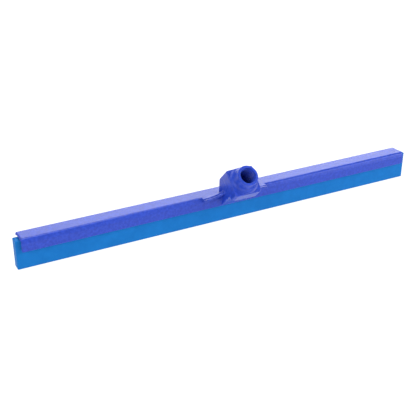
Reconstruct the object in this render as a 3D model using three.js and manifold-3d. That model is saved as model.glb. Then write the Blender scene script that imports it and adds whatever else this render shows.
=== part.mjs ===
// Head of a floor squeegee, 600 mm class, with an angled handle socket and a clip-on blade.
//
// Units are millimetres, +Z is up. X runs along the beam, -Y is the front, the side that the
// handle socket leans to. The origin is the middle of the blade's working edge.
//
// The beam is a hooked strip with tongues under it. A neck stands on the beam's top and front,
// with a gusset on each side. It carries a square head, and the head a threaded tube for the
// handle. All of these are one moulding in the real tool, and are six solids here. The blade
// clips onto the tongues. It is a soft strip moulded round a stiff core, the blade carrier,
// which has a pocket for each tongue.

import * as THREE from 'three';
import { mergeVertices } from 'three/addons/utils/BufferGeometryUtils.js';
import Module from 'manifold-3d';

const wasm = await Module();
wasm.setup();

// Fit between pieces, and how far shapes of one piece stop short of a wall they are buried in
const gap = 0.3;
const bury = 0.5;

// Blade
const bladeLength = 617;
const bladeThickness = 13;
const bladeHeight = 40.6;
const bladeRounding = 0.8;

// Blade carrier, and the windows that the blade's rubber goes through
const carrierLength = 586;
const carrierThickness = 8.6;
const carrierHeight = 18;
const windowCount = 5;
const windowPitch = 100;
const windowLength = 24;
const windowHeight = 7;
const windowRise = 4;

// Beam
const beamLength = 605;
const beamDepth = 27.5;
const beamWall = 3;
const beamTop = bladeHeight + 3.4;
const flangeHeight = 18;
const lipHeight = 5.5;
const beamFrontCorner = 2.4;
const beamBackCorner = 4;
const beamEndRounding = 1;
const flangeFront = -bladeThickness / 2 - 6;

// Tongues that the blade clips onto
const tongueCount = 6;
const tonguePitch = 100;
const tongueLength = 50;
const tongueThickness = 3;
const tongueReach = 9.6;
const tongueTip = 1;

// Neck and socket. The neck's own frame starts at the beam's top front edge. "along" is the
// distance in the direction of the socket's axis, and "below" is the distance square to it,
// forwards and down.
const socketTilt = Math.PI / 4;
const neckWidth = 40.4;
const neckRounding = 1.5;
const neckBackFoot = 9.5;
const neckShoulder = 7.6;
const headFace = 36.4;
const headBack = 18.6;
const headTop = -20.2;
const headBottom = 18.9;
const rootBottom = 11.6;
const socketCentre = -2.3;
const tubeLength = 15;
const tubeMouthRadius = 14.6;
const tubeBaseRadius = 16.2;
const boreRadius = 10.6;
const boreDepth = 34;
const boreLeadIn = 0.5;
const boreEndRound = 2;

// Gussets. A gusset starts level with the beam's top, a little in front of it, and sweeps
// forwards and up to the side of the neck.
const gussetReach = 30.3;
const gussetForward = 5.3;
const gussetSweep = 3.4;
const gussetRise = 7.9;
const gussetRisePower = 2.4;
const gussetRoot = 4;
const gussetThickness = 3.2;
const gussetSteps = 7;

const roundSides = 48;

const blue = new THREE.MeshStandardMaterial({ color: 0x3a4cc0, roughness: 0.42, metalness: 0 });
const azure = new THREE.MeshStandardMaterial({ color: 0x2b78c8, roughness: 0.55, metalness: 0 });
const azureCore = new THREE.MeshStandardMaterial({ color: 0x2a6fb4, roughness: 0.5, metalness: 0 });

function toSolid(geometry) {
  const bare = geometry.clone();
  bare.deleteAttribute('normal');
  bare.deleteAttribute('uv');
  const merged = mergeVertices(bare, 1e-4);
  const vertProperties = new Float32Array(merged.attributes.position.array);
  const triVerts = new Uint32Array(merged.index.array);
  return new wasm.Manifold(new wasm.Mesh({ numProp: 3, vertProperties, triVerts }));
}

function toMesh(name, solid, material) {
  const { vertProperties, triVerts } = solid.getMesh();
  const geometry = new THREE.BufferGeometry();
  geometry.setAttribute('position', new THREE.BufferAttribute(vertProperties, 3));
  geometry.setIndex(new THREE.BufferAttribute(triVerts, 1));
  geometry.computeVertexNormals();
  const mesh = new THREE.Mesh(geometry, material);
  mesh.name = name;
  return mesh;
}

function joined(solids) {
  return solids.reduce((whole, piece) => whole.add(piece));
}

function box(sizeX, sizeY, sizeZ, x, y, z) {
  return toSolid(new THREE.BoxGeometry(sizeX, sizeY, sizeZ).translate(x, y, z));
}

// Places of copies spaced evenly about the middle of the beam.
function spread(count, pitch) {
  return Array.from({ length: count }, (_, i) => (i - (count - 1) / 2) * pitch);
}

// A side view, drawn in Y and Z, pulled along X about the middle of the beam.
function extrudeAlongX(shape, length, rounding) {
  const geometry = new THREE.ExtrudeGeometry(shape, {
    depth: length - 2 * rounding,
    bevelEnabled: rounding > 0,
    bevelThickness: rounding,
    bevelSize: rounding,
    bevelOffset: -rounding,
    bevelSegments: 3,
    curveSegments: 6,
  });
  const toSideView = new THREE.Matrix4().makeBasis(
    new THREE.Vector3(0, 1, 0),
    new THREE.Vector3(0, 0, 1),
    new THREE.Vector3(1, 0, 0),
  );
  geometry.translate(0, 0, -length / 2 + rounding);
  return toSolid(geometry.applyMatrix4(toSideView));
}

// A point of the neck in the side view, from its distances along and below the socket's axis.
function neckPoint(along, below) {
  const cos = Math.cos(socketTilt);
  const sin = Math.sin(socketTilt);
  return new THREE.Vector2(
    flangeFront - along * cos - below * sin,
    beamTop + along * sin - below * cos,
  );
}

// The beam: a top plate, a deep front flange and a short lip at the back.
function beam() {
  const back = flangeFront + beamDepth;
  const shape = new THREE.Shape();
  shape.moveTo(flangeFront, beamTop - flangeHeight);
  shape.lineTo(flangeFront + beamWall, beamTop - flangeHeight);
  shape.lineTo(flangeFront + beamWall, beamTop - beamWall);
  shape.lineTo(back - beamWall, beamTop - beamWall);
  shape.lineTo(back - beamWall, beamTop - lipHeight);
  shape.lineTo(back, beamTop - lipHeight);
  shape.absarc(back - beamBackCorner, beamTop - beamBackCorner, beamBackCorner, 0, Math.PI / 2);
  shape.absarc(
    flangeFront + beamFrontCorner,
    beamTop - beamFrontCorner,
    beamFrontCorner,
    Math.PI / 2,
    Math.PI,
  );
  shape.closePath();
  return extrudeAlongX(shape, beamLength, beamEndRounding);
}

// The tongues hang under the top plate, with a tapered tip.
function tongues() {
  const root = beamTop - beamWall + 1;
  const tip = beamTop - beamWall - tongueReach;
  const half = tongueThickness / 2;
  const shape = new THREE.Shape([
    new THREE.Vector2(-half, root),
    new THREE.Vector2(-half, tip + 2 * tongueTip),
    new THREE.Vector2(-half + tongueTip, tip),
    new THREE.Vector2(half - tongueTip, tip),
    new THREE.Vector2(half, tip + 2 * tongueTip),
    new THREE.Vector2(half, root),
  ]);
  const tongue = extrudeAlongX(shape, tongueLength, 0);
  return spread(tongueCount, tonguePitch).map((x) => tongue.translate([x, 0, 0]));
}

// The place that the beam takes, cut out of the pieces that stand on it.
function beamPlace() {
  return box(
    2 * (neckWidth + gussetReach),
    beamDepth + 2 * gap,
    flangeHeight + 2 * gap,
    0,
    flangeFront + beamDepth / 2,
    beamTop - flangeHeight / 2,
  );
}

// The neck stands on the beam and its flange, and ends at the back of the head.
function neck() {
  const insideFlange = flangeFront + beamWall - bury;
  const insideTop = beamTop - beamWall + bury;
  const end = headBack - gap;
  const atFlange = neckPoint(-rootBottom * Math.tan(socketTilt), rootBottom);
  const shape = new THREE.Shape([
    new THREE.Vector2(flangeFront + neckBackFoot, insideTop),
    neckPoint(neckShoulder, headTop),
    neckPoint(end, headTop),
    neckPoint(end, rootBottom),
    atFlange,
    new THREE.Vector2(insideFlange, atFlange.y),
    new THREE.Vector2(insideFlange, insideTop),
  ]);
  return extrudeAlongX(shape, neckWidth, neckRounding).subtract(beamPlace()).subtract(socketBore());
}

// The square head, a block square to the socket's axis.
function head() {
  const shape = new THREE.Shape([
    neckPoint(headBack, headTop),
    neckPoint(headFace, headTop),
    neckPoint(headFace, headBottom),
    neckPoint(headBack, headBottom),
  ]);
  return extrudeAlongX(shape, neckWidth, neckRounding).subtract(socketBore());
}

// Turns a lathe shape, whose axis is Y, onto the socket's axis. Its zero goes to the head's
// front face.
function onSocketAxis(geometry) {
  const start = neckPoint(headFace, socketCentre);
  geometry.rotateX(Math.PI - socketTilt);
  return toSolid(geometry.translate(0, start.x, start.y));
}

function socketTube() {
  return onSocketAxis(new THREE.LatheGeometry([
    new THREE.Vector2(0, gap),
    new THREE.Vector2(tubeBaseRadius, gap),
    new THREE.Vector2(tubeMouthRadius, tubeLength),
    new THREE.Vector2(0, tubeLength),
  ], roundSides)).subtract(socketBore());
}

function socketBore() {
  const floor = tubeLength - boreDepth;
  const past = tubeLength + 5;
  return onSocketAxis(new THREE.LatheGeometry([
    new THREE.Vector2(0, floor),
    new THREE.Vector2(boreRadius - boreEndRound, floor),
    new THREE.Vector2(boreRadius, floor + boreEndRound),
    new THREE.Vector2(boreRadius, tubeLength - boreLeadIn),
    new THREE.Vector2(boreRadius + boreLeadIn, tubeLength),
    new THREE.Vector2(boreRadius + boreLeadIn, past),
    new THREE.Vector2(0, past),
  ], roundSides));
}

// A gusset is a web, flat in plan at first. Its root is a straight line on the beam, and its
// front edge is then lifted to its own height.
function gusset(side) {
  const root = flangeFront + gussetRoot;
  const inner = neckWidth / 2 + gap;
  const outer = neckWidth / 2 + gussetReach;
  const share = (x) => THREE.MathUtils.clamp((outer - Math.abs(x)) / gussetReach, 0, 1);
  const edgeY = (x) => flangeFront - gussetForward - gussetSweep * share(x) ** 2;

  const plan = new THREE.Shape();
  plan.moveTo(side * inner, root);
  plan.lineTo(side * outer, root);
  for (let i = 0; i <= gussetSteps; i += 1) {
    const x = outer + (inner - outer) * (i / gussetSteps);
    plan.lineTo(side * x, edgeY(x));
  }
  plan.closePath();

  const geometry = new THREE.ExtrudeGeometry(plan, { depth: gussetThickness, bevelEnabled: false });
  geometry.translate(0, 0, beamTop - gussetThickness);
  const position = geometry.attributes.position;
  for (let i = 0; i < position.count; i += 1) {
    const x = position.getX(i);
    const forward = (root - position.getY(i)) / (root - edgeY(x));
    position.setZ(i, position.getZ(i) + forward * gussetRise * share(x) ** gussetRisePower);
  }
  return toSolid(geometry).subtract(beamPlace());
}

function beamWithTongues() {
  return joined([beam(), ...tongues()]);
}

// The carrier is a plain bar with a pocket for each tongue and windows for the blade's rubber.
function carrierBar(clearance) {
  const middle = bladeHeight - carrierHeight / 2;
  return box(
    carrierLength + 2 * clearance,
    carrierThickness + 2 * clearance,
    carrierHeight + 2 * clearance,
    0, 0, middle,
  );
}

function carrierWindows(clearance) {
  const z = bladeHeight - carrierHeight + windowRise + windowHeight / 2;
  return spread(windowCount, windowPitch).map((x) => box(
    windowLength - 2 * clearance,
    2 * carrierThickness,
    windowHeight - 2 * clearance,
    x, 0, z,
  ));
}

function bladeCarrier() {
  const pocketDepth = beamTop - beamWall - tongueReach - gap;
  const pocketHeight = bladeHeight - pocketDepth + 1;
  const pockets = spread(tongueCount, tonguePitch).map((x) => box(
    tongueLength + 2 * gap,
    tongueThickness + 2 * gap,
    pocketHeight,
    x, 0, pocketDepth + pocketHeight / 2,
  ));
  return carrierBar(0).subtract(joined([...pockets, ...carrierWindows(0)]));
}

// The blade, drawn in the front view and pulled through its thickness, with the carrier's
// place cut out of it.
function blade() {
  const end = bladeLength / 2;
  const outline = new THREE.Shape([
    new THREE.Vector2(-end, bladeHeight),
    new THREE.Vector2(-end, 0),
    new THREE.Vector2(end, 0),
    new THREE.Vector2(end, bladeHeight),
  ]);
  const geometry = new THREE.ExtrudeGeometry(outline, {
    depth: bladeThickness - 2 * bladeRounding,
    bevelThickness: bladeRounding,
    bevelSize: bladeRounding,
    bevelOffset: -bladeRounding,
    bevelSegments: 3,
  });
  geometry.translate(0, 0, -bladeThickness / 2 + bladeRounding);
  const strip = toSolid(geometry.rotateX(Math.PI / 2));
  const cavity = carrierBar(gap).subtract(joined(carrierWindows(gap)));
  return strip.subtract(cavity);
}

const squeegee = new THREE.Group();
squeegee.add(toMesh('beam', beamWithTongues(), blue));
squeegee.add(toMesh('neck', neck(), blue));
squeegee.add(toMesh('socket_head', head(), blue));
squeegee.add(toMesh('socket_tube', socketTube(), blue));
squeegee.add(toMesh('left_gusset', gusset(-1), blue));
squeegee.add(toMesh('right_gusset', gusset(1), blue));
squeegee.add(toMesh('blade_carrier', bladeCarrier(), azureCore));
squeegee.add(toMesh('blade', blade(), azure));

export default squeegee;
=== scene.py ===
"""Looks of a floor squeegee head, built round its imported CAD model.

Each piece is a signed distance field, a formula that is negative inside the piece, and
surface_net() turns the field into a closed mesh. The fields are in millimetres, in the
model's own frame: X along the beam, -Y to the front, +Z up.
"""

import math

import bpy
import numpy as np
from mathutils import Matrix, Vector


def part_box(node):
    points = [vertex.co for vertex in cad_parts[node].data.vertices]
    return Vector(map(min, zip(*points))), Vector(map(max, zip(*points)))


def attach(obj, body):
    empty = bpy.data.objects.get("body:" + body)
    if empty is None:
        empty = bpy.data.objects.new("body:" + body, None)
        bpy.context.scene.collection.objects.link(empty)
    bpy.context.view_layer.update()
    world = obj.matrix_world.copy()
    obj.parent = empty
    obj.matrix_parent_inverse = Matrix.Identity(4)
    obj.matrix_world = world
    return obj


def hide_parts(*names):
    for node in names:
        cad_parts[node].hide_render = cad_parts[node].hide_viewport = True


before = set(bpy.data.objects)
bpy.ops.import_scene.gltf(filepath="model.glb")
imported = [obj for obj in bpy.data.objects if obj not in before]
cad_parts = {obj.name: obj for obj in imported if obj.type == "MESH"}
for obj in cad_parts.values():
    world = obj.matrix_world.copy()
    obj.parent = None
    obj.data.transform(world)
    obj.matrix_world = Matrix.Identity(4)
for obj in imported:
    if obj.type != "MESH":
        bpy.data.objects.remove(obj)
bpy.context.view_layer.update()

MM = 0.001


def cad_corners(node):
    """The lowest and highest corner of a CAD node, in millimetres."""
    return [np.array(corner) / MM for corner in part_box(node)]


beam_low, beam_high = cad_corners("beam")
tube_low, tube_high = cad_corners("socket_tube")
blade_low, blade_high = cad_corners("blade")
carrier_low, carrier_high = cad_corners("blade_carrier")

# Beam
BEAM_DEPTH = 27.5
BEAM_WALL = 3.0
BEAM_FRONT_CORNER = 2.4
BEAM_BACK_CORNER = 4.0
BEAM_END_ROUNDING = 2.4
BAND_HEIGHT = 6.6
BAND_ROUNDING = 0.6
BAND_SLANT = math.radians(20)
FLANGE_SET_BACK = 0.6
FLANGE_HEIGHT = 18.0
LIP_HEIGHT = 5.5
WALL_ROUNDING = 0.7
BEAM_HALF = beam_high[0]
BEAM_BACK = beam_high[1]
BEAM_FRONT = BEAM_BACK - BEAM_DEPTH
BEAM_TOP = beam_high[2]

# Tongues under the beam, the carrier with its pockets and windows, and the blade round it
TONGUE_PLACES = [-250.0, -150.0, -50.0, 50.0, 150.0, 250.0]
TONGUE_HALF_LENGTH = 25.0
TONGUE_THICKNESS = 3.0
TONGUE_REACH = 9.6
TONGUE_TIP = BEAM_TOP - BEAM_WALL - TONGUE_REACH
GAP = 0.3
WINDOW_PLACES = [-200.0, -100.0, 0.0, 100.0, 200.0]
WINDOW_HALF_LENGTH = 12.0
WINDOW_RISE = 4.0
WINDOW_HEIGHT = 7.0
WINDOW_LOW = carrier_low[2] + WINDOW_RISE
WINDOW_HIGH = WINDOW_LOW + WINDOW_HEIGHT
WINDOW_ROUNDING = 0.8
CARRIER_ROUNDING = 0.5
CAVITY_EDGE = 0.3
BLADE_ROUNDING = 1.3

# Neck and socket, in the neck's own axes: "along" follows the socket's axis from the beam's
# top front edge, and "below" is square to it, forwards and down
TILT = math.radians(45)
NECK_HALF = 20.2
NECK_FOOT = 9.5
NECK_DRAFT = 0.03
HEAD_FACE = 36.4
HEAD_BACK = 18.6
HEAD_TOP = -20.2
HEAD_BOTTOM = 18.9
HEAD_ROUNDING = 4.5
HEAD_EDGE = 1.2
NECK_EDGE = 1.6
NECK_BACK_EDGE = 2.0
NECK_END_EDGE = 1.0
NECK_ABOVE_FLANGE_END = 1.0
NECK_LOW_END = BEAM_TOP - FLANGE_HEIGHT + NECK_ABOVE_FLANGE_END
BURIED_SHARE = 0.8
ROOT_BOTTOM = 11.6
SOCKET_CENTRE = -2.3
TUBE_LENGTH = 15.0
SOCKET_MOUTH = HEAD_FACE + TUBE_LENGTH
MOUTH_RADIUS = 14.6
TUBE_BASE_RADIUS = 16.2
BORE_RADIUS = 11.1
RIM_EDGE = 0.8
BORE_DEPTH = 34.0
BORE_END_ROUNDING = 1.5
BORE_EDGE = 0.5
THREAD_PITCH = 4.6
THREAD_DEPTH = 1.0
THREAD_STEEPNESS = 0.9
THREAD_LEAD_IN = 0.8
THREAD_FADE = 2.0

# Gussets: a web on each side of the neck with a round front edge, and a ledge in front of
# it that ends in a flat bead. The reach is measured from the side of the neck. The start, the
# sweep and the rise place the middle of the round edge.
GUSSET_REACH = 30.3
GUSSET_RADIUS = 1.6
GUSSET_START_FORWARD = 1.1
GUSSET_SWEEP_FORWARD = 3.4
GUSSET_RISE = 7.9
GUSSET_RISE_POWER = 2.4
GUSSET_ROOT = 4.0
LEDGE_WIDTH = 3.0
LEDGE_DROP = 0.4
LEDGE_THICKNESS = 1.4
LEDGE_ROUNDING = 0.4
BEAD_WIDTH = 2.6
BEAD_RISE = 0.9
BEAD_ROUNDING = 0.3
GUSSET_END_ROUNDING = 0.9
GUSSET_BURIED = 2.0

# Fillets where two shapes meet
PLATE_FILLET = 1.0
TONGUE_FILLET = 0.6
LEDGE_FILLET = 0.2
GUSSET_FILLET = 0.5
HEAD_FILLET = 0.8
NECK_FILLET = 0.9
TUBE_FILLET = 5.0

# Grids that the meshes are made on: their steps, how far they go past a piece, and how far
# the fine steps reach round an end
STEP = 0.5
FRAME_LONG_STEP = 5.0
STRIP_LONG_STEP = 6.0
STRIP_FINE_STEP = 0.4
BLADE_STEP = 0.45
CARRIER_STEP = 0.4
MARGIN = 1.0
LONG_MARGIN = 1.5
FRAME_END_OUTSIDE = 0.8
FRAME_END_INSIDE = 4.2
TONGUE_END_REACH = 1.2
GUSSET_END_REACH = 2.0
STRIP_END_REACH = 1.6

# Limits on the last move, which puts a mesh's points on the surface
LEAST_SLOPE_SQUARED = 0.25
MOST_SHIFT = 0.2


# ---------------------------------------------------------------- fields

def union(a, b, radius):
    """Joins two fields with a round inside corner."""
    corner = np.hypot(np.maximum(radius - a, 0), np.maximum(radius - b, 0))
    return np.maximum(radius, np.minimum(a, b)) - corner


def overlap(a, b, radius):
    """The part that two fields share, with a round outside edge."""
    corner = np.hypot(np.maximum(radius + a, 0), np.maximum(radius + b, 0))
    return np.minimum(-radius, np.maximum(a, b)) + corner


def slab(value, low, high):
    """Everything whose value lies between low and high."""
    return np.maximum(low - value, value - high)


def rounded(fields, radius):
    """The overlap of two or three slabs, with every edge rounded."""
    grown = [field + radius for field in fields]
    outside = sum(np.maximum(field, 0) ** 2 for field in grown)
    inside = grown[0]
    for field in grown[1:]:
        inside = np.maximum(inside, field)
    return np.sqrt(outside) + np.minimum(inside, 0) - radius


def repeated(x, places, half_length):
    """Distance along X to the nearest of several equal stretches."""
    nearest = np.abs(x - places[0])
    for place in places[1:]:
        nearest = np.minimum(nearest, np.abs(x - place))
    return nearest - half_length


def beam_field(x, y, z):
    """A top plate, a deep front flange under a slanted band, and a short back lip."""
    band = rounded([
        slab(y, BEAM_FRONT, BEAM_FRONT + 2 * BEAM_WALL),
        slab(z, BEAM_TOP - BAND_HEIGHT, BEAM_TOP),
    ], BAND_ROUNDING)
    hollow = np.maximum(BEAM_FRONT + BEAM_WALL - y, z - BEAM_TOP + BEAM_WALL)
    band = np.maximum(band, -hollow)
    plate = rounded([
        slab(y, BEAM_FRONT, BEAM_BACK),
        slab(z, BEAM_TOP - BEAM_WALL, BEAM_TOP),
    ], WALL_ROUNDING)
    flange = rounded([
        slab(y, BEAM_FRONT + FLANGE_SET_BACK, BEAM_FRONT + BEAM_WALL),
        slab(z, BEAM_TOP - FLANGE_HEIGHT, BEAM_TOP),
    ], WALL_ROUNDING)
    lip = rounded([
        slab(y, BEAM_BACK - BEAM_WALL, BEAM_BACK),
        slab(z, BEAM_TOP - LIP_HEIGHT, BEAM_TOP),
    ], WALL_ROUNDING)
    section = union(plate, np.minimum(band, flange), PLATE_FILLET)
    section = union(section, lip, PLATE_FILLET)
    band_foot = BEAM_TOP - BAND_HEIGHT
    slant = (BEAM_FRONT - y) * math.cos(BAND_SLANT) + (z - band_foot) * math.sin(BAND_SLANT)
    front = overlap(slant, z - BEAM_TOP, BEAM_FRONT_CORNER)
    back = overlap(y - BEAM_BACK, z - BEAM_TOP, BEAM_BACK_CORNER)
    section = np.maximum(section, np.maximum(front, back))
    return overlap(section, np.abs(x) - BEAM_HALF, BEAM_END_ROUNDING)


def tongues_field(x, y, z):
    """Tongues that hang from the top plate into the carrier's pockets."""
    return rounded([
        repeated(x, TONGUE_PLACES, TONGUE_HALF_LENGTH),
        np.abs(y) - TONGUE_THICKNESS / 2,
        slab(z, TONGUE_TIP, BEAM_TOP - BEAM_WALL / 2),
    ], WALL_ROUNDING)


def neck_axes(y, z):
    """The same point as its distances along the socket's axis and below it."""
    forward = BEAM_FRONT - y
    up = z - BEAM_TOP
    along = forward * math.cos(TILT) + up * math.sin(TILT)
    below = forward * math.sin(TILT) - up * math.cos(TILT)
    return along, below


def neck_field(x, y, z):
    """The upright and the square block on it. The upright is buried in the beam's walls, but
    stays out of the channel under the beam."""
    along, below = neck_axes(y, z)
    width = np.abs(x) - NECK_HALF
    back_wall = y - BEAM_FRONT - NECK_FOOT + NECK_DRAFT * (z - BEAM_TOP)
    root = overlap(slab(below, HEAD_TOP, ROOT_BOTTOM), back_wall, NECK_BACK_EDGE)
    root = overlap(root, along - HEAD_FACE + NECK_END_EDGE, NECK_END_EDGE)
    root = overlap(root, width, NECK_EDGE)
    buried = BURIED_SHARE * BEAM_WALL
    channel = np.minimum(y - BEAM_FRONT - buried, BEAM_TOP - buried - z)
    root = np.maximum(root, channel)
    root = np.maximum(root, NECK_LOW_END - z)
    block = rounded([slab(below, HEAD_TOP, HEAD_BOTTOM), width], HEAD_ROUNDING)
    head = overlap(block, slab(along, HEAD_BACK, HEAD_FACE), HEAD_EDGE)
    return union(root, head, HEAD_FILLET)


def socket_radius(x, below):
    """Distance from the socket's axis."""
    return np.hypot(x, below - SOCKET_CENTRE)


def tube_field(x, y, z):
    """The outside of the socket tube, which narrows towards its mouth."""
    along, below = neck_axes(y, z)
    share = (along - HEAD_FACE) / (SOCKET_MOUTH - HEAD_FACE)
    wall = TUBE_BASE_RADIUS + (MOUTH_RADIUS - TUBE_BASE_RADIUS) * share
    length = slab(along, HEAD_FACE - BEAM_WALL, SOCKET_MOUTH)
    return overlap(socket_radius(x, below) - wall, length, RIM_EDGE)


def bore_field(x, y, z):
    """The bore with a right-hand thread of rounded turns, and a plain lead-in at its mouth."""
    along, below = neck_axes(y, z)
    turn = np.arctan2(SOCKET_CENTRE - below, x) / (2 * math.pi)
    wave = np.cos(2 * math.pi * (along / THREAD_PITCH - turn))
    ridge = np.clip(0.5 + THREAD_STEEPNESS * wave, 0, 1)
    fade = np.clip((SOCKET_MOUTH - along - THREAD_LEAD_IN) / THREAD_FADE, 0, 1)
    wall = BORE_RADIUS - THREAD_DEPTH * ridge * fade
    end = SOCKET_MOUTH - BORE_DEPTH - along
    return overlap(socket_radius(x, below) - wall, end, BORE_END_ROUNDING)


def gusset_field(x, y, z):
    """The gussets. Each starts level with the beam's top, and sweeps forwards and up to the
    side of the neck."""
    from_neck = np.abs(x) - NECK_HALF
    t = np.clip(1 - from_neck / GUSSET_REACH, 0, 1)
    edge_y = BEAM_FRONT - GUSSET_START_FORWARD - GUSSET_SWEEP_FORWARD * t ** 2
    edge_z = BEAM_TOP - GUSSET_RADIUS + GUSSET_RISE * t ** GUSSET_RISE_POWER
    root_y = BEAM_FRONT + GUSSET_ROOT
    root_z = BEAM_TOP - GUSSET_RADIUS
    span_y = root_y - edge_y
    span_z = root_z - edge_z
    share = ((y - edge_y) * span_y + (z - edge_z) * span_z) / (span_y ** 2 + span_z ** 2)
    share = np.clip(share, 0, 1)
    web = np.hypot(y - edge_y - share * span_y, z - edge_z - share * span_z) - GUSSET_RADIUS
    ledge_top = edge_z - LEDGE_DROP
    ledge_front = edge_y - GUSSET_RADIUS - LEDGE_WIDTH
    ledge = rounded([
        slab(y, ledge_front, edge_y),
        slab(z, ledge_top - LEDGE_THICKNESS, ledge_top),
    ], LEDGE_ROUNDING)
    bead = rounded([
        slab(y, ledge_front, ledge_front + BEAD_WIDTH),
        slab(z, ledge_top - LEDGE_THICKNESS, edge_z + BEAD_RISE),
    ], BEAD_ROUNDING)
    web = union(web, np.minimum(ledge, bead), LEDGE_FILLET)
    return overlap(web, slab(from_neck, -GUSSET_BURIED, GUSSET_REACH), GUSSET_END_ROUNDING)


def frame_field(x, y, z):
    """The whole blue moulding."""
    body = union(beam_field(x, y, z), tongues_field(x, y, z), TONGUE_FILLET)
    body = union(body, gusset_field(x, y, z), GUSSET_FILLET)
    body = union(body, neck_field(x, y, z), NECK_FILLET)
    body = union(body, tube_field(x, y, z), TUBE_FILLET)
    return overlap(body, -bore_field(x, y, z), BORE_EDGE)


def carrier_field(x, y, z):
    """A bar with a pocket for each tongue, open at the top, and windows right through it."""
    bar = rounded([
        slab(x, carrier_low[0], carrier_high[0]),
        slab(y, carrier_low[1], carrier_high[1]),
        slab(z, carrier_low[2], carrier_high[2]),
    ], CARRIER_ROUNDING)
    pockets = rounded([
        repeated(x, TONGUE_PLACES, TONGUE_HALF_LENGTH + GAP),
        np.abs(y) - TONGUE_THICKNESS / 2 - GAP,
        TONGUE_TIP - GAP - z,
    ], CARRIER_ROUNDING)
    windows = rounded([
        repeated(x, WINDOW_PLACES, WINDOW_HALF_LENGTH),
        slab(z, WINDOW_LOW, WINDOW_HIGH),
    ], WINDOW_ROUNDING)
    return np.maximum(bar, -np.minimum(pockets, windows))


def blade_field(x, y, z):
    """A strip with a cavity for the carrier, and bridges of rubber through its windows."""
    strip = rounded([
        slab(x, blade_low[0], blade_high[0]),
        slab(y, blade_low[1], blade_high[1]),
        slab(z, blade_low[2], blade_high[2]),
    ], BLADE_ROUNDING)
    cavity = rounded([
        slab(x, carrier_low[0] - GAP, carrier_high[0] + GAP),
        slab(y, carrier_low[1] - GAP, carrier_high[1] + GAP),
        carrier_low[2] - GAP - z,
    ], CARRIER_ROUNDING)
    bridges = rounded([
        repeated(x, WINDOW_PLACES, WINDOW_HALF_LENGTH - GAP),
        np.abs(y) - blade_high[1] / 2 - carrier_high[1] / 2,
        slab(z, WINDOW_LOW + GAP, WINDOW_HIGH - GAP),
    ], WINDOW_ROUNDING)
    return np.minimum(overlap(strip, -cavity, CAVITY_EDGE), bridges)


# ---------------------------------------------------------------- meshes

def grid_lines(low, high, step, zones=(), fine=1.0):
    """Positions from low to high, at coarse steps, and at fine steps inside the zones."""
    lines = np.linspace(low, high, int((high - low) / step) + 2)
    for start, end in zones:
        lines = lines[(lines < start - fine) | (lines > end + fine)]
        lines = np.concatenate([lines, np.linspace(start, end, int((end - start) / fine) + 2)])
    return np.sort(lines)


def slopes(field, points, reach=0.02):
    """The field's gradient at each point."""
    columns = []
    for axis in range(3):
        step = np.zeros(3)
        step[axis] = reach
        ahead = field(*(points + step).T)
        behind = field(*(points - step).T)
        columns.append((ahead - behind) / (2 * reach))
    return np.stack(columns, 1)


def surface_net(field, lines):
    """Points, quads and normals of the surface where the field is zero, on a grid of lines.

    Each grid edge that the surface crosses gives a quad, which joins the four cells round
    that edge. Each cell gives a point, the mean of its crossings, moved on to the surface.
    """
    values = field(lines[0][:, None, None], lines[1][None, :, None], lines[2][None, None, :])
    cells = np.array(values.shape) - 1
    corners = []
    crossings = []
    for axis in range(3):
        inside = values < 0
        change = np.diff(inside, axis=axis)
        index = np.argwhere(change)
        step = np.eye(3, dtype=int)[axis]
        first = values[tuple(index.T)]
        second = values[tuple((index + step).T)]
        point = np.stack([lines[k][index[:, k]] for k in range(3)], 1)
        spacing = np.diff(lines[axis])[index[:, axis]]
        point[:, axis] += spacing * first / (first - second)
        side = np.eye(3, dtype=int)[(axis + 1) % 3]
        other = np.eye(3, dtype=int)[(axis + 2) % 3]
        around = [index, index - side, index - side - other, index - other]
        quad = np.stack([np.ravel_multi_index(cell.T, cells) for cell in around], 1)
        quad[first >= 0] = quad[first >= 0][:, ::-1]
        corners.append(quad)
        crossings.append(point)
    corners = np.concatenate(corners)
    crossings = np.concatenate(crossings)
    quads = np.unique(corners, return_inverse=True)[1].reshape(-1, 4)
    counts = np.bincount(quads.ravel())
    points = np.stack([
        np.bincount(quads.ravel(), weights=np.repeat(crossings[:, k], 4)) / counts for k in range(3)
    ], 1)
    slope = slopes(field, points)
    slope_squared = np.maximum((slope ** 2).sum(1), LEAST_SLOPE_SQUARED)
    shift = np.clip(field(*points.T) / slope_squared, -MOST_SHIFT, MOST_SHIFT)
    points -= slope * shift[:, None]
    normals = slopes(field, points)
    normals /= np.maximum(np.linalg.norm(normals, axis=1), 1e-9)[:, None]
    return points, quads, normals


def piece(name, field, lines, material, body, nodes):
    """Makes one visible piece, hangs it on its body's empty, and hides the CAD nodes it replaces.
    """
    points, quads, normals = surface_net(field, lines)
    mesh = bpy.data.meshes.new(name)
    mesh.from_pydata((points * MM).tolist(), [], quads.tolist())
    mesh.shade_smooth()
    mesh.normals_split_custom_set_from_vertices(normals.tolist())
    mesh.materials.append(material)
    made = bpy.data.objects.new(name, mesh)
    bpy.context.scene.collection.objects.link(made)
    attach(made, body)
    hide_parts(*nodes)


def both_ends(places, half_length):
    """The two ends of each of the stretches that repeated() makes."""
    return [place + side * half_length for place in places for side in (-1, 1)]


def near(places, reach):
    """A zone round each place."""
    return [(place - reach, place + reach) for place in places]


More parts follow.
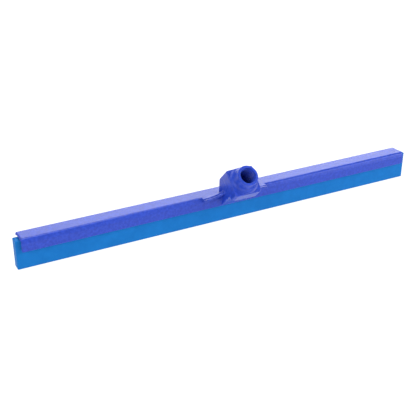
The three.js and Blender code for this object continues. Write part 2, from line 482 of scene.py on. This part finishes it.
def frame_lines():
    """Grid lines for the frame, fine at the neck, the gussets and the ends of the tongues and
    the beam."""
    middle = NECK_HALF + GUSSET_REACH + GUSSET_END_REACH
    tongue_ends = both_ends(TONGUE_PLACES, TONGUE_HALF_LENGTH)
    outer_ends = [end for end in tongue_ends if abs(end) > middle]
    left_end = (-BEAM_HALF - FRAME_END_OUTSIDE, -BEAM_HALF + FRAME_END_INSIDE)
    right_end = (BEAM_HALF - FRAME_END_INSIDE, BEAM_HALF + FRAME_END_OUTSIDE)
    zones = near(outer_ends, TONGUE_END_REACH) + [left_end, right_end, (-middle, middle)]
    low = beam_low[0] - LONG_MARGIN
    high = beam_high[0] + LONG_MARGIN
    return [
        grid_lines(low, high, FRAME_LONG_STEP, zones, STEP),
        grid_lines(tube_low[1] - MARGIN, beam_high[1] + MARGIN, STEP),
        grid_lines(beam_low[2] - MARGIN, tube_high[2] + MARGIN, STEP),
    ]


def strip_lines(low, high, stops, thickness_step):
    """Grid lines for a long strip, fine where its shape changes along X."""
    zones = near(stops + [low[0], high[0]], STRIP_END_REACH)
    start = low[0] - LONG_MARGIN
    end = high[0] + LONG_MARGIN
    return [
        grid_lines(start, end, STRIP_LONG_STEP, zones, STRIP_FINE_STEP),
        grid_lines(low[1] - MARGIN, high[1] + MARGIN, thickness_step),
        grid_lines(low[2] - MARGIN, high[2] + MARGIN, STEP),
    ]


# ---------------------------------------------------------------- materials

def link(tree, source, output, target, socket):
    tree.links.new(source.outputs[output], target.inputs[socket])


def plastic(name, deep, pale, roughness, grain, bump, shine):
    """Moulded plastic: two tones in soft flecks, and a fine grain that breaks up the gloss."""
    material = bpy.data.materials.new(name)
    material.use_nodes = True
    tree = material.node_tree
    shader = tree.nodes["Principled BSDF"]
    place = tree.nodes.new("ShaderNodeTexCoord")

    flecks = tree.nodes.new("ShaderNodeTexNoise")
    flecks.inputs["Scale"].default_value = grain
    flecks.inputs["Detail"].default_value = 3
    tones = tree.nodes.new("ShaderNodeValToRGB")
    tones.color_ramp.elements[0].position = 0.35
    tones.color_ramp.elements[0].color = (*deep, 1)
    tones.color_ramp.elements[1].position = 0.65
    tones.color_ramp.elements[1].color = (*pale, 1)
    link(tree, place, "Object", flecks, "Vector")
    link(tree, flecks, "Fac", tones, "Fac")
    link(tree, tones, "Color", shader, "Base Color")

    fine = tree.nodes.new("ShaderNodeTexNoise")
    fine.inputs["Scale"].default_value = 3.5 * grain
    fine.inputs["Detail"].default_value = 2
    lift = tree.nodes.new("ShaderNodeBump")
    lift.inputs["Strength"].default_value = bump
    lift.inputs["Distance"].default_value = 0.0004
    link(tree, place, "Object", fine, "Vector")
    link(tree, fine, "Fac", lift, "Height")
    link(tree, lift, "Normal", shader, "Normal")

    wear = tree.nodes.new("ShaderNodeMapRange")
    wear.inputs["To Min"].default_value = roughness - 0.06
    wear.inputs["To Max"].default_value = roughness + 0.06
    link(tree, flecks, "Fac", wear, "Value")
    link(tree, wear, "Result", shader, "Roughness")
    shader.inputs["IOR"].default_value = 1.5
    shader.inputs["Specular IOR Level"].default_value = shine
    return material


def floor_material():
    material = bpy.data.materials.new("floor_white")
    material.use_nodes = True
    shader = material.node_tree.nodes["Principled BSDF"]
    shader.inputs["Base Color"].default_value = (0.2, 0.2, 0.2, 1)
    shader.inputs["Roughness"].default_value = 0.8
    shader.inputs["Specular IOR Level"].default_value = 0.0
    shader.inputs["Emission Color"].default_value = (1, 1, 1, 1)
    shader.inputs["Emission Strength"].default_value = 0.95
    return material


# ---------------------------------------------------------------- stage

# The room's light fades from the walls' strength to the ceiling's as the upward part of a
# direction goes from WALL_TOP to CEILING_START
WALL_LIGHT = 0.8
CEILING_LIGHT = 0.15
WALL_TOP = 0.15
CEILING_START = 0.65


def floor():
    """A white square, 10 m wide."""
    half = 5.0
    corners = [(-half, -half, 0), (half, -half, 0), (half, half, 0), (-half, half, 0)]
    mesh = bpy.data.meshes.new("floor")
    mesh.from_pydata(corners, [], [(0, 1, 2, 3)])
    mesh.materials.append(floor_material())
    made = bpy.data.objects.new("floor", mesh)
    bpy.context.scene.collection.objects.link(made)


def room_light():
    """Pale walls all round and a dark ceiling."""
    world = bpy.data.worlds.new("studio")
    bpy.context.scene.world = world
    world.use_nodes = True
    tree = world.node_tree
    background = tree.nodes["Background"]
    background.inputs["Color"].default_value = (1, 1, 1, 1)
    direction = tree.nodes.new("ShaderNodeTexCoord")
    parts = tree.nodes.new("ShaderNodeSeparateXYZ")
    height = tree.nodes.new("ShaderNodeMapRange")
    height.inputs["From Min"].default_value = WALL_TOP
    height.inputs["From Max"].default_value = CEILING_START
    height.inputs["To Min"].default_value = WALL_LIGHT
    height.inputs["To Max"].default_value = CEILING_LIGHT
    link(tree, direction, "Generated", parts, "Vector")
    link(tree, parts, "Z", height, "Value")
    link(tree, height, "Result", background, "Strength")


def soft_box(name, place, width, height, radiance):
    """A rectangular light aimed at the object, set by how bright its face is."""
    light = bpy.data.lights.new(name, "AREA")
    light.shape = "RECTANGLE"
    light.size = width
    light.size_y = height
    light.energy = radiance * math.pi * width * height
    made = bpy.data.objects.new(name, light)
    made.location = place
    made.rotation_euler = (-Vector(place)).to_track_quat("-Z", "Y").to_euler()
    bpy.context.scene.collection.objects.link(made)


# Camera: its direction from the point it aims at, its distance and aim in metres, and its
# lens in millimetres
CAMERA_AZIMUTH = math.radians(-28.4)
CAMERA_ELEVATION = math.radians(26.5)
CAMERA_ROLL = math.radians(0.28)
CAMERA_DISTANCE = 1.1065
CAMERA_AIM = Vector((-0.0352, 0.0, 0.0209))
CAMERA_LENS = 68.74


def camera():
    data = bpy.data.cameras.new("camera")
    data.lens = CAMERA_LENS
    data.sensor_width = 36
    made = bpy.data.objects.new("camera", data)
    back = Vector((
        math.sin(CAMERA_AZIMUTH) * math.cos(CAMERA_ELEVATION),
        -math.cos(CAMERA_AZIMUTH) * math.cos(CAMERA_ELEVATION),
        math.sin(CAMERA_ELEVATION),
    ))
    turn = (-back).to_track_quat("-Z", "Y").to_matrix().to_4x4()
    place = Matrix.Translation(CAMERA_AIM + back * CAMERA_DISTANCE)
    made.matrix_world = place @ turn @ Matrix.Rotation(CAMERA_ROLL, 4, "Z")
    bpy.context.scene.collection.objects.link(made)
    bpy.context.scene.camera = made


# ---------------------------------------------------------------- assembly

blue = plastic(
    "blue_polypropylene", deep=(0.014, 0.048, 0.42), pale=(0.022, 0.066, 0.53),
    roughness=0.34, grain=260.0, bump=0.25, shine=0.35)
azure = plastic(
    "azure_rubber", deep=(0.006, 0.155, 0.49), pale=(0.008, 0.172, 0.53),
    roughness=0.5, grain=90.0, bump=0.06, shine=0.08)
core = plastic(
    "azure_polypropylene", deep=(0.008, 0.12, 0.38), pale=(0.012, 0.14, 0.42),
    roughness=0.5, grain=260.0, bump=0.2, shine=0.25)

frame_nodes = ["beam", "neck", "socket_head", "socket_tube", "left_gusset", "right_gusset"]
piece("squeegee_frame", frame_field, frame_lines(), blue, "frame", frame_nodes)

window_ends = both_ends(WINDOW_PLACES, WINDOW_HALF_LENGTH)
pocket_ends = both_ends(TONGUE_PLACES, TONGUE_HALF_LENGTH)
blade_stops = window_ends + [carrier_low[0], carrier_high[0]]
blade_lines = strip_lines(blade_low, blade_high, blade_stops, BLADE_STEP)
piece("rubber_blade", blade_field, blade_lines, azure, "blade", ["blade"])
core_lines = strip_lines(carrier_low, carrier_high, window_ends + pocket_ends, CARRIER_STEP)
piece("blade_core", carrier_field, core_lines, core, "blade", ["blade_carrier"])

floor()
room_light()
soft_box("back_wall", place=(0.95, 1.9, 1.0), width=2.2, height=1.2, radiance=3.2)
soft_box("key", place=(1.6, -1.3, 0.95), width=1.3, height=1.0, radiance=5.6)
soft_box("overhead", place=(0.1, 0.2, 2.0), width=1.6, height=1.2, radiance=4.6)
soft_box("fill", place=(-1.5, -0.9, 1.0), width=1.2, height=1.0, radiance=3.1)
camera()
bpy.context.scene.view_settings.view_transform = "Standard"
